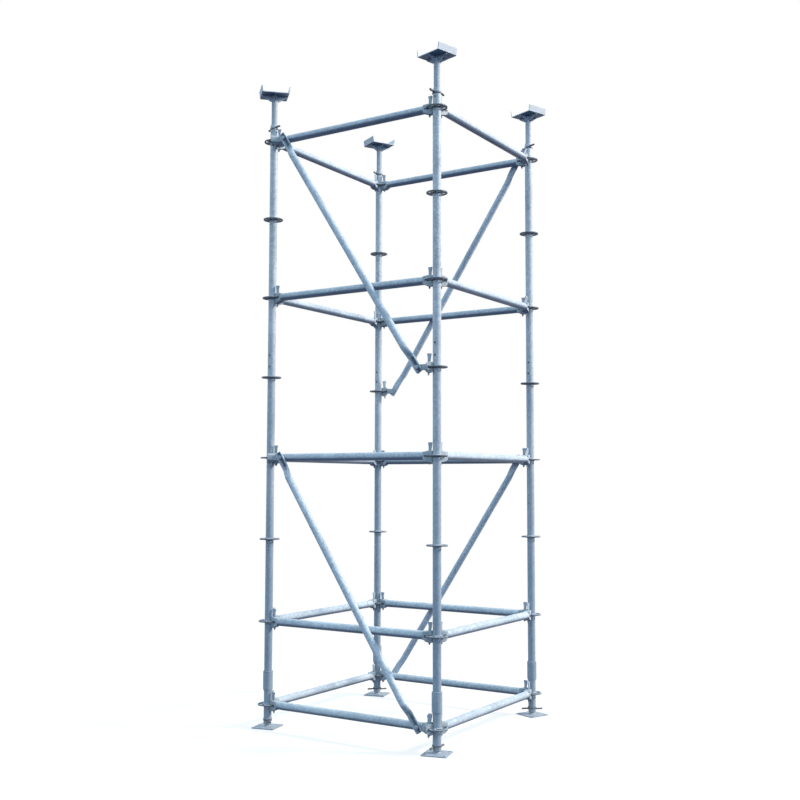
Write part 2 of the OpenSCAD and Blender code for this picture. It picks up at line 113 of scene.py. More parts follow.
@dataclass
class Tree:
    """Adds nodes to one node tree and links them.

    Attributes:
        tree: The node tree to add to.
    """

    tree: bpy.types.NodeTree

    def add(self, kind: str, inputs: dict | None = None, **settings: object) -> bpy.types.Node:
        """Add one node.

        Args:
            kind: The node's type name.
            inputs: Values or output sockets by input name or number.
            settings: Properties of the node.

        Returns:
            The new node.
        """
        node = self.tree.nodes.new(kind)
        for name, value in settings.items():
            setattr(node, name, value)
        for key, value in (inputs or {}).items():
            if isinstance(value, Socket):
                self.tree.links.new(value, node.inputs[key])
            else:
                node.inputs[key].default_value = value
        return node

    def maths(self, operation: str, *values: object) -> Socket:
        """Add a Math node and give its output."""
        return self.add("ShaderNodeMath", dict(enumerate(values)), operation=operation).outputs[0]

    def ranged(self, value: Socket, *ends: object) -> Socket:
        """Map a value, clamped, from a range to another, given by the four ends."""
        return self.add("ShaderNodeMapRange", dict(enumerate((value, *ends)))).outputs[0]

    def vectors(self, operation: str, *values: object) -> bpy.types.Node:
        """Add a Vector Math node and give it."""
        return self.add("ShaderNodeVectorMath", dict(enumerate(values)), operation=operation)

    def noise(self, place: Socket, scale: float, detail: float, rough: float = 0.5) -> Socket:
        """Add a Noise Texture node and give its grey value."""
        given = {"Vector": place, "Scale": scale, "Detail": detail, "Roughness": rough}
        return self.add("ShaderNodeTexNoise", given).outputs["Fac"]

    def spot(self) -> Socket:
        """The shaded place in its object's own coordinates."""
        return self.add("ShaderNodeTexCoord").outputs["Object"]

    def mixed(self, mask: Socket, first: Socket | Colour, second: Socket | Colour) -> Socket:
        """Mix two colours by a mask, which is the share of the second."""
        ends = [end if isinstance(end, Socket) else (*end, 1.0) for end in (first, second)]
        return self.add("ShaderNodeMix", {0: mask, 6: ends[0], 7: ends[1]}, data_type="RGBA").outputs[2]

    def stained(self, colour: Socket, mask: Socket, strength: float, stain: Colour) -> Socket:
        """Lay a stain over a colour by a mask and a strength."""
        return self.mixed(self.maths("MULTIPLY", mask, strength), colour, stain)


def empty_tree(owner: bpy.types.ID) -> Tree:
    """Switch a material's or world's nodes on, and give its tree without any node."""
    owner.use_nodes = True
    owner.node_tree.nodes.clear()
    return Tree(owner.node_tree)


@dataclass(frozen=True)
class Effect:
    """A shader node group, built once and placed in each finish that uses it.

    Attributes:
        name: The group's name.
        inputs: Its inputs' default values by name.
        outputs: Its outputs' names.
        draw: Adds its nodes to its tree. Takes the input sockets by name, and gives what goes
            to the output sockets by name.
    """

    name: str
    inputs: dict[str, float]
    outputs: tuple[str, ...]
    draw: Callable[[Tree, dict], dict]

    def group(self) -> bpy.types.NodeTree:
        """Build the group, or give it if it is there."""
        found = bpy.data.node_groups.get(self.name)
        if found is not None:
            return found
        group = bpy.data.node_groups.new(self.name, "ShaderNodeTree")
        for name, value in self.inputs.items():
            socket = group.interface.new_socket(name, in_out="INPUT", socket_type="NodeSocketFloat")
            socket.default_value = value
        for name in self.outputs:
            group.interface.new_socket(name, in_out="OUTPUT", socket_type="NodeSocketFloat")
        tree = Tree(group)
        entry = tree.add("NodeGroupInput")
        made = self.draw(tree, {name: entry.outputs[name] for name in self.inputs})
        tree.add("NodeGroupOutput", made)
        return group

    def place(self, tree: Tree, **values: float) -> bpy.types.Node:
        """Place the group in a material's tree, with values by the inputs' names."""
        node = tree.add("ShaderNodeGroup", node_tree=self.group())
        for name, value in values.items():
            node.inputs[name].default_value = value
        return node


def draw_zinc(tree: Tree, given: dict) -> dict:
    """Zinc coat: crystals of slightly different grey, cloudy patches and a fine grain."""
    place = tree.spot()
    warp = tree.add("ShaderNodeTexNoise", {"Vector": place, "Scale": 60.0, "Detail": 2.0})
    bent = tree.vectors("MULTIPLY_ADD", warp.outputs["Color"], (0.006, 0.006, 0.006), place)
    cells = tree.add("ShaderNodeTexVoronoi", {"Vector": bent.outputs[0], "Scale": given["Crystals"]})
    crystal = tree.add("ShaderNodeSeparateColor", {0: cells.outputs["Color"]}).outputs[0]
    clouds = tree.noise(place, 3.1, 5.0, 0.62)
    runs = tree.add("ShaderNodeMapping", {"Vector": place, "Scale": (34.0, 34.0, 2.2)})
    grain = tree.noise(place, 520.0, 3.0)
    patch = tree.ranged(clouds, 0.34, 0.66, 0.0, 1.0)
    streak = tree.ranged(tree.noise(runs.outputs[0], 1.0, 3.0), 0.3, 0.7, 0.0, 1.0)
    dark = tree.maths("MULTIPLY", crystal, given["Spangle"])
    dark = tree.maths("MULTIPLY_ADD", patch, given["Cloud"], dark)
    dark = tree.maths("MULTIPLY_ADD", streak, given["Streak"], dark)
    height = tree.maths("MULTIPLY_ADD", crystal, 0.35, tree.maths("MULTIPLY", grain, 0.65))
    return {"Mask": tree.maths("MINIMUM", dark, 1.0), "Dull": patch, "Height": height}


def draw_wear(tree: Tree, given: dict) -> dict:
    """Rubbed edges: where the surface turns sharply, broken up by a noise."""
    rounded = tree.add("ShaderNodeBevel", {"Radius": given["Width"]}, samples=4)
    normal = tree.add("ShaderNodeNewGeometry").outputs["Normal"]
    turn = tree.vectors("DOT_PRODUCT", rounded.outputs[0], normal).outputs["Value"]
    edge = tree.ranged(turn, 0.985, 0.86, 0.0, 1.0)
    rubbed = tree.ranged(tree.noise(tree.spot(), 130.0, 4.0), 0.36, 0.56, 0.15, 1.0)
    return {"Mask": tree.maths("MULTIPLY", edge, rubbed)}


def draw_splash_and_shade(tree: Tree, given: dict) -> dict:
    """Dust and splashes near the ground, and painted shade that darkens the lower tower and fades out
    higher up.
    """
    place = tree.spot()
    height = tree.add("ShaderNodeSeparateXYZ", {0: place}).outputs["Z"]
    fade = tree.ranged(height, 0.0, given["Reach"], 1.0, 0.0)
    spots = tree.noise(place, 46.0, 6.0, 0.7)
    blot = tree.ranged(spots, 0.42, 0.68, 0.0, 1.0)
    # painted shade: darker towards the bottom of the tower
    low_shade = tree.ranged(height, *LOW_SHADE_FADE, 1.0, 0.0)
    cloudy = tree.ranged(spots, 0.3, 0.7, 0.8, 1.0)
    return {"Mask": tree.maths("MULTIPLY", fade, blot), "LowShade": tree.maths("MULTIPLY", low_shade, cloudy)}


def draw_recess_shade(tree: Tree, given: dict) -> dict:
    """Painted shade in recesses: darker where near surfaces shut the open air off."""
    shut = tree.add("ShaderNodeAmbientOcclusion", {"Distance": given["Reach"]}, samples=6)
    return {"Mask": tree.ranged(shut.outputs["AO"], 0.78, 0.30, 0.0, 1.0)}


def draw_underside_shade(tree: Tree, given: dict) -> dict:
    """Painted shade on undersides: a mask that grows as the normal turns down."""
    normal = tree.add("ShaderNodeTexCoord").outputs["Normal"]
    upward = tree.add("ShaderNodeSeparateXYZ", {0: normal}).outputs["Z"]
    return {"Mask": tree.ranged(upward, given["From"], given["To"], 0.0, 1.0)}


ZINC = Effect(
    "zinc_coat",
    {"Crystals": 90.0, "Spangle": 0.4, "Cloud": 0.45, "Streak": 0.2},
    ("Mask", "Dull", "Height"),
    draw_zinc,
)
WEAR = Effect("edge_wear", {"Width": 0.002}, ("Mask",), draw_wear)
# dust near the ground, and painted shade on the lower tower
SPLASH_AND_LOW_SHADE = Effect("ground_splash_and_shade", {"Reach": 0.4}, ("Mask", "LowShade"), draw_splash_and_shade)
# painted shade in recesses, from ambient occlusion
PAINTED_RECESS_SHADE = Effect("recess_shade_mask", {"Reach": 0.02}, ("Mask",), draw_recess_shade)
# painted shade on undersides
PAINTED_UNDERSIDE_SHADE = Effect("underside_shade_mask", {"From": -0.08, "To": -0.45}, ("Mask",), draw_underside_shade)


# ---- finishes

# colour of the painted shade in the pressed gutters of the brace ends
GUTTER_SHADE_COLOUR = (0.03, 0.055, 0.10)
# colour of the painted shade in recesses
RECESS_SHADE_COLOUR = (0.03, 0.035, 0.045)
# colour of the painted shade on the lower tower
LOW_SHADE_COLOUR = (0.17, 0.23, 0.31)
DUST_COLOUR = (0.47, 0.44, 0.40)
# colour of the painted shade on the darkest undersides
DEEP_SHADE_COLOUR = (0.025, 0.030, 0.040)
# reach of the painted shade in recesses
RECESS_SHADE_REACH = 0.018
DUST_REACH = 0.42
DUST_SHARE = 0.35
WORN_SHARE = 0.75
WORN_LIFT, WORN_GAIN = 0.45, 0.62  # from the coat's colour to a rubbed edge's
CLEAN_GLOSS, DULL_ROUGHNESS = 0.04, 0.14  # taken off, and added where the coat is dull
METALLIC = 0.02
SPECULAR = 0.22
NUT_BODY = (0.0250, 0.0268)  # radii where a nut's body ends and its handle arms begin


@dataclass(frozen=True)
class Steel:
    """One steel finish.

    Attributes:
        slot: The record's material slot, and the material's name.
        light: Colour of the clean coat.
        dark: Colour of the dull coat.
        rough: Roughness of the clean coat.
        crystals: Zinc crystals per metre.
        spangle: How far single crystals stand out.
        streak: How far runs along Z stand out.
        edge: Width of the rubbed edge, or 0 for none.
        relief: Depth of the fine grain.
        low_shade: How strongly painted shade darkens the lower half of the tower.
        recess_shade: How strongly painted shade darkens recesses.
        under: How strongly painted shade darkens the undersides.
        underside_shade_colour: Colour of that painted shade.
        underside_shade_span: Upward share of the normal where that painted shade begins and where it is
            full.
        pressed: How strongly painted shade darkens the pressed gutter of a brace end.
        handle_shade: Colour of painted shade on the parts that stand away from the jack's axis, if any.
    """

    slot: str
    light: Colour
    dark: Colour
    rough: float = 0.42
    crystals: float = 90.0
    spangle: float = 0.35
    streak: float = 0.2
    edge: float = 0.0
    relief: float = 0.00006
    low_shade: float = 0.0
    recess_shade: float = 0.0
    under: float = 0.0
    underside_shade_colour: Colour = (0.10, 0.14, 0.21)
    underside_shade_span: tuple[float, float] = (-0.08, -0.45)
    pressed: float = 0.0
    handle_shade: Colour | None = None

    def material(self) -> bpy.types.Material:
        """Build the material, or give it if it is there.

        Returns:
            The finish as a material.
        """
        found = bpy.data.materials.get(self.slot)
        if found is not None and found.get("finished"):
            return found
        material = bpy.data.materials.new(self.slot + "_finish")
        material.name = self.slot
        material["finished"] = True
        tree = empty_tree(material)
        zinc = ZINC.place(tree, Crystals=self.crystals, Spangle=self.spangle, Streak=self.streak)
        colour = tree.mixed(zinc.outputs["Mask"], self.light, self.dark)
        # painted shade: the nut handles take a dark colour
        if self.handle_shade:
            colour = tree.mixed(self.away_from_axis(tree), colour, self.handle_shade)
        # painted shade in the pressed gutter of the brace ends
        if self.pressed:
            gutter = tree.add("ShaderNodeAttribute", attribute_name="pressed").outputs["Fac"]
            colour = tree.stained(colour, gutter, self.pressed, GUTTER_SHADE_COLOUR)
        # painted shade on undersides
        if self.under:
            start, full = self.underside_shade_span
            below = PAINTED_UNDERSIDE_SHADE.place(tree, From=start, To=full).outputs["Mask"]
            colour = tree.stained(colour, below, self.under, self.underside_shade_colour)
        # painted shade in recesses
        if self.recess_shade:
            shut = PAINTED_RECESS_SHADE.place(tree, Reach=RECESS_SHADE_REACH).outputs["Mask"]
            colour = tree.stained(colour, shut, self.recess_shade, RECESS_SHADE_COLOUR)
        if self.edge:
            worn = WEAR.place(tree, Width=self.edge).outputs["Mask"]
            bright = tuple(min(1.0, WORN_LIFT + WORN_GAIN * c) for c in self.light)
            colour = tree.stained(colour, worn, WORN_SHARE, bright)
        near = SPLASH_AND_LOW_SHADE.place(tree, Reach=DUST_REACH)
        # painted shade on the lower tower
        if self.low_shade:
            colour = tree.stained(colour, near.outputs["LowShade"], self.low_shade, LOW_SHADE_COLOUR)
        colour = tree.stained(colour, near.outputs["Mask"], DUST_SHARE, DUST_COLOUR)
        rough = tree.maths(
            "MULTIPLY_ADD", zinc.outputs["Dull"], DULL_ROUGHNESS, self.rough - CLEAN_GLOSS
        )
        relief = {"Height": zinc.outputs["Height"], "Distance": self.relief, "Strength": 1.0}
        bump = tree.add("ShaderNodeBump", relief)
        coat = {"Base Color": colour, "Roughness": rough, "Metallic": METALLIC}
        shine = {"Specular IOR Level": SPECULAR, "Normal": bump.outputs[0]}
        shader = tree.add("ShaderNodeBsdfPrincipled", coat | shine)
        tree.add("ShaderNodeOutputMaterial", {"Surface": shader.outputs[0]})
        return material

    @staticmethod
    def away_from_axis(tree: Tree) -> Socket:
        """Where a point is further from its leg's axis than the body of a nut, as 0 to 1."""
        axis = Leg.BACK_RIGHT.axis()
        place = tree.spot()
        quarter = tree.vectors("ABSOLUTE", place).outputs[0]
        across = tree.vectors("SUBTRACT", quarter, (axis.x, axis.y, 0.0)).outputs[0]
        flat = tree.vectors("MULTIPLY", across, (1.0, 1.0, 0.0)).outputs[0]
        out = tree.vectors("LENGTH", flat).outputs["Value"]
        return tree.ranged(out, *NUT_BODY, 0.0, 1.0)


class Finish(Enum):
    """The finishes of the tower."""

    TUBE = Steel("galvanised_tube", (0.64, 0.68, 0.71), (0.34, 0.38, 0.43), spangle=0.5, low_shade=0.68)
    LEDGER = Steel(
        "ledger_tube", (0.60, 0.65, 0.70), (0.28, 0.33, 0.39), spangle=0.5, streak=0.0, under=0.9
    )
    BRACE = Steel(
        "brace_tube", (0.61, 0.66, 0.72), (0.28, 0.34, 0.41), spangle=0.5, streak=0.0,
        edge=0.003, pressed=1.0,
    )
    HEAD = Steel(
        "cast_head", (0.50, 0.54, 0.57), (0.24, 0.28, 0.32), rough=0.5, crystals=210.0,
        edge=0.0022, relief=0.0002, recess_shade=0.85, under=0.6,
    )
    # the ring's painted shade reaches up over its rims as well as its undersides
    RING = Steel(
        "forged_ring", (0.42, 0.46, 0.51), (0.24, 0.28, 0.33), rough=0.5, crystals=210.0,
        edge=0.0012, relief=0.0001, recess_shade=0.6, under=0.95, underside_shade_colour=DEEP_SHADE_COLOUR, underside_shade_span=(0.30, -0.20),
    )
    WEDGE = Steel(
        "wedge_steel", (0.46, 0.52, 0.58), (0.24, 0.28, 0.33), rough=0.44, edge=0.0016, recess_shade=0.7
    )
    SPINDLE = Steel("spindle_steel", (0.50, 0.55, 0.60), (0.33, 0.38, 0.44), rough=0.36, crystals=260.0)
    NUT = Steel(
        "cast_nut", (0.50, 0.55, 0.60), (0.30, 0.35, 0.41), rough=0.5, crystals=210.0,
        edge=0.0016, relief=0.00025, recess_shade=0.8, under=0.9, underside_shade_colour=DEEP_SHADE_COLOUR, handle_shade=(0.12, 0.14, 0.17),
    )
    PLATE = Steel(
        "plate_steel", (0.62, 0.66, 0.70), (0.42, 0.46, 0.51), rough=0.44, edge=0.0020,
        low_shade=0.65, recess_shade=0.6, under=0.95, underside_shade_colour=(0.045, 0.10, 0.17),
    )

    @property
    def steel(self) -> Steel:
        """The finish's own settings."""
        return self.value


# ---- work on meshes


class Bench:
    """Operators on the active mesh, used as by hand."""

    @staticmethod
    def clear() -> None:
        """Leave edit mode and deselect everything."""
        active = bpy.context.view_layer.objects.active
        if active is not None and active.mode != "OBJECT":
            bpy.ops.object.mode_set(mode="OBJECT")
        bpy.ops.object.select_all(action="DESELECT")

    @classmethod
    def take(cls, piece: Piece) -> None:
        """Make one piece the active and only selected one."""
        cls.clear()
        piece.select_set(True)
        bpy.context.view_layer.objects.active = piece

    @classmethod
    def edit(cls, piece: Piece) -> None:
        """Enter edit mode on one piece, with all of it selected."""
        cls.take(piece)
        bpy.ops.object.mode_set(mode="EDIT")
        bpy.ops.mesh.select_all(action="SELECT")

    @staticmethod
    def pick(piece: Piece, kind: str, test: Callable) -> int:
        """Select what passes a test, in edit mode.

        Args:
            piece: The piece in edit mode.
            kind: VERT, EDGE or FACE.
            test: Says yes or no to one vertex, edge or face.

        Returns:
            How many were selected.
        """
        bpy.ops.mesh.select_mode(type=kind)
        bpy.ops.mesh.select_all(action="DESELECT")
        mesh = bmesh.from_edit_mesh(piece.data)
        elements = {"VERT": mesh.verts, "EDGE": mesh.edges, "FACE": mesh.faces}[kind]
        chosen = [element for element in elements if test(element)]
        for element in chosen:
            element.select = True
        mesh.select_flush_mode()
        bmesh.update_edit_mesh(piece.data)
        return len(chosen)

    @classmethod
    def modify(cls, piece: Piece, kind: str, **settings: object) -> None:
        """Add a modifier of a kind with its properties, and apply it."""
        cls.take(piece)
        modifier = piece.modifiers.new(kind.lower(), kind)
        for name, value in settings.items():
            setattr(modifier, name, value)
        bpy.ops.object.modifier_apply(modifier=modifier.name)

    @classmethod
    def bevel(cls, piece: Piece, width: float, angle: float, **settings: object) -> None:
        """Round the edges that turn by more than an angle in degrees."""
        limit = {"limit_method": "ANGLE", "angle_limit": math.radians(angle)}
        cls.modify(piece, "BEVEL", width=width, segments=2, **limit, **settings)

    @classmethod
    def shade(cls, piece: Piece, angle: float = 40.0) -> None:
        """Shade smooth, with sharp edges over an angle in degrees."""
        cls.take(piece)
        bpy.ops.object.shade_smooth_by_angle(angle=math.radians(angle))

    @classmethod
    def settle(cls, piece: Piece) -> None:
        """Put the piece's place into its mesh."""
        cls.take(piece)
        bpy.ops.object.transform_apply()

    @classmethod
    def start(cls, primitive: Callable, **settings: object) -> Piece:
        """Start a piece from a primitive, given as its operator."""
        cls.clear()
        primitive(**settings)
        return bpy.context.object

    @staticmethod
    def new(name: str, data: bpy.types.ID) -> Piece:
        """Put an object with this data into the scene."""
        made = bpy.data.objects.new(name, data)
        bpy.context.scene.collection.objects.link(made)
        return made

    @classmethod
    def copies(cls, source: Piece, places: list[Matrix], name: str) -> Piece:
        """Copy a modelled piece to several places, each copy with its own mesh, and join them.

        Args:
            source: The piece, modelled at the origin.
            places: Where the copies go.
            name: Name of the joined piece.

        Returns:
            The joined piece.
        """
        made = []
        for place in places:
            made.append(cls.new(name, source.data.copy()))
            made[-1].data.transform(place)
        cls.take(made[0])
        for copy in made[1:]:
            copy.select_set(True)
        if len(made) > 1:
            bpy.ops.object.join()
        made[0].name = name
        cls.clear()
        return made[0]

    @classmethod
    def discard(cls, piece: Piece) -> None:
        """Remove a piece that was only a pattern for copies."""
        cls.clear()
        bpy.data.objects.remove(piece)


def dress(piece: Piece, finish: Finish) -> None:
    """Give a new piece or a node of the frame one finish all over."""
    slots = piece.material_slots
    if not slots:
        piece.data.materials.append(finish.steel.material())
    for slot in slots:
        slot.material = finish.steel.material()


def place_piece(piece: Piece, body: str, finish: Finish, *nodes: str) -> None:
    """Dress a new piece, and let it ride on its body for the nodes it replaces."""
    dress(piece, finish)
    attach(piece, body)
    if nodes:
        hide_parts(*nodes)
    LOG.info("%s: %d faces, on %s", piece.name, len(piece.data.polygons), body)


def spread(pattern: Piece, places: list[Matrix], name: str, body: str, finish: Finish) -> None:
    """Join copies of a pattern into one new piece, and remove the pattern."""
    piece = Bench.copies(pattern, places, name)
    Bench.discard(pattern)
    place_piece(piece, body, finish)


@dataclass(frozen=True)
class Softener:
    """Rounds the edges of a node's copy, as forging, casting or deburring leaves them.

    Attributes:
        width: Width of the rounding, or 0 where the piece's own chamfers are enough.
        sharp: Least angle in degrees of an edge that is rounded.
    """

    width: float
    sharp: float = 32.0

    def copy(self, node: str) -> Piece:
        """Make the rounded copy of a node.

        Args:
            node: The node's name.

        Returns:
            The rounded piece, at the node's place.
        """
        piece = Bench.new(node + "_rounded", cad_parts[node].data.copy())
        piece.data.materials.clear()
        Bench.edit(piece)
        bpy.ops.mesh.remove_doubles(threshold=MERGE)
        bpy.ops.mesh.dissolve_limited(angle_limit=PLANE)
        if self.width:
            Bench.bevel(piece, self.width, self.sharp, use_clamp_overlap=False)
        Bench.shade(piece)
        Bench.modify(piece, "WEIGHTED_NORMAL", keep_sharp=True)
        return piece

    def renew(self, node: str, finish: Finish, body: str = TOWER) -> None:
        """Put a node's rounded copy in the node's place."""
        place_piece(self.copy(node), body, finish, node)


# ---- sub-assemblies


@dataclass(frozen=True)
class Welds:
    """Rippled fillet welds that run round a tube or a spindle.

    Attributes:
        bead: Radius of the bead's section.
        ripple: How far its ripples stand up.
        step: Length of one ripple.
    """

    bead: float = 0.0022
    ripple: float = 0.00045
    step: float = 0.0032

    def ring(self, radius: float) -> Piece:
        """Model one bead round the Z axis, at the origin.

        Args:
            radius: Radius of the bead's middle.

        Returns:
            The bead.
        """
        ripples = max(12, round(2 * math.pi * radius / self.step))
        piece = Bench.start(
            bpy.ops.mesh.primitive_torus_add,
            major_radius=radius,
            minor_radius=self.bead,
            major_segments=2 * ripples,
            minor_segments=6,
        )
        turn = math.pi / ripples
        Bench.edit(piece)
        Bench.pick(piece, "VERT", lambda v: round(math.atan2(v.co.y, v.co.x) / turn) % 2 == 0)
        bpy.ops.transform.shrink_fatten(value=-self.ripple)
        Bench.shade(piece, 60.0)
        return piece

    def lay(self, radius: float, places: list[Matrix], name: str, body: str, finish: Finish) -> None:
        """Lay equal beads of one radius about the Z of several places, as one piece."""
        spread(self.ring(radius), places, name, body, finish)


@dataclass
class Standards:
    """The tubes of the four legs, their spigots, base collars and ring plates.

    Attributes:
        weld_rise: Height of a ring plate's weld above and below its middle.
        weld_out: Distance of a weld's middle beyond the tube.
        ring_edge: Rounding of the ring plates.
        collar_edge: Smoothing of the collars, whose edges are in the solids.
        welds: The ring plates' welds.
    """

    weld_rise: float = 0.0068
    weld_out: float = 0.0009
    ring_edge: Softener = Softener(0.0008)
    collar_edge: Softener = Softener(0.0)
    welds: Welds = Welds()

    @staticmethod
    def ring_heights(leg: Leg) -> list[float]:
        """Heights of the ring plates' middles on one leg, from the lowest up."""
        low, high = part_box(f"ring_plates_{leg.value}")
        first, last = low.z + RING_HALF, high.z - RING_HALF
        return [first + (last - first) * k / (LEVELS - 1) for k in range(LEVELS)]

    def build(self) -> None:
        """Dress the tubes, round the rings, smooth the collars, and lay the ring welds."""
        dress(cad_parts["spigots"], Finish.TUBE)
        for leg in Leg:
            dress(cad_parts[f"standard_lower_{leg.value}"], Finish.TUBE)
            dress(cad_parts[f"standard_upper_{leg.value}"], Finish.TUBE)
            self.collar_edge.renew(f"base_collar_{leg.value}", Finish.TUBE)
            self.ring_edge.renew(f"ring_plates_{leg.value}", Finish.RING)
            rises = [z + side * self.weld_rise for z in self.ring_heights(leg) for side in (-1, 1)]
            places = [leg.at(rise) for rise in rises]
            radius = TUBE_RADIUS + self.weld_out
            self.welds.lay(radius, places, f"ring_welds_{leg.value}", TOWER, Finish.TUBE)


@dataclass
class Ledgers:
    """The ledgers: tubes, cast wedge heads, wedges and their captive pins.

    Attributes:
        tube_start: Distance from a leg's axis to a ledger tube's end.
        pin_radius: Radius of the captive pins.
        pin_length: Length of the captive pins.
        pin_out: Distance from the leg's axis to a pin.
        pin_down: Depth of a pin below the ring plate's middle.
        pin_round: Rounding of a pin's ends.
        weld_in: Distance of a weld's middle inside the tube's face.
        head_edge: Rounding of the cast heads.
        wedge_edge: Rounding of the wedges.
        welds: The welds between heads and tubes.
    """

    tube_start: float = 0.082
    pin_radius: float = 0.0026
    pin_length: float = 0.0125
    pin_out: float = 0.04884
    pin_down: float = 0.043
    pin_round: float = 0.0011
    weld_in: float = 0.0006
    head_edge: Softener = Softener(0.0012)
    wedge_edge: Softener = Softener(0.0009)
    welds: Welds = Welds(bead=0.0024)

    def build(self) -> None:
        """Round the heads and wedges, lay the tube welds and set the pins."""
        for level in LEDGER_LEVELS:
            dress(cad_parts[f"ledger_tubes_level_{level}"], Finish.LEDGER)
            self.head_edge.renew(f"ledger_heads_level_{level}", Finish.HEAD)
        for wedges in ("ledger_wedges", "brace_wedges"):
            self.wedge_edge.renew(wedges, Finish.WEDGE)
        places = self.ends(self.tube_start, 0.0, Along.X, Along.Y)
        self.welds.lay(TUBE_RADIUS - self.weld_in, places, "ledger_welds", TOWER, Finish.LEDGER)
        self.set_pins()

    @staticmethod
    def ends(out: float, down: float, turn_x: Along, turn_y: Along) -> list[Matrix]:
        """Places at every ledger end.

        Args:
            out: Distance from the leg's axis.
            down: Depth below the ring plate's middle.
            turn_x: Turn at the end of a ledger that runs along X.
            turn_y: Turn at the end of a ledger that runs along Y.

        Returns:
            The places, leg by leg from the lowest level up.
        """
        found = []
        for leg in Leg:
            axis = leg.axis()
            heights = Standards.ring_heights(leg)
            for level in LEDGER_LEVELS:
                point = axis + Vector((0, 0, heights[level - 1]))
                inward_x = Vector((-math.copysign(out, axis.x), 0, -down))
                inward_y = Vector((0, -math.copysign(out, axis.y), -down))
                found.append(Matrix.Translation(point + inward_x) @ turn_x.value)
                found.append(Matrix.Translation(point + inward_y) @ turn_y.value)
        return found

    def set_pins(self) -> None:
        """Rivet a captive pin through the lower end of every ledger wedge."""
        cylinder = bpy.ops.mesh.primitive_cylinder_add
        pin = Bench.start(cylinder, vertices=14, radius=self.pin_radius, depth=self.pin_length)
        Bench.edit(pin)
        Bench.pick(pin, "EDGE", lambda e: abs(e.verts[0].co.z - e.verts[1].co.z) < 1e-6)
        bpy.ops.mesh.bevel(offset=self.pin_round, segments=2)
        Bench.shade(pin, 50.0)
        places = self.ends(self.pin_out, self.pin_down, Along.Y, Along.X)
        spread(pin, places, "wedge_pins", TOWER, Finish.WEDGE)


@dataclass
class Section:
    """One cross-section of a brace end.

    Attributes:
        along: Distance from the rivet towards the brace's middle.
        thick: Half thickness across the wall of the tower.
        wide: Half width in the plane of the bay.
    """

    along: float
    thick: float
    wide: float


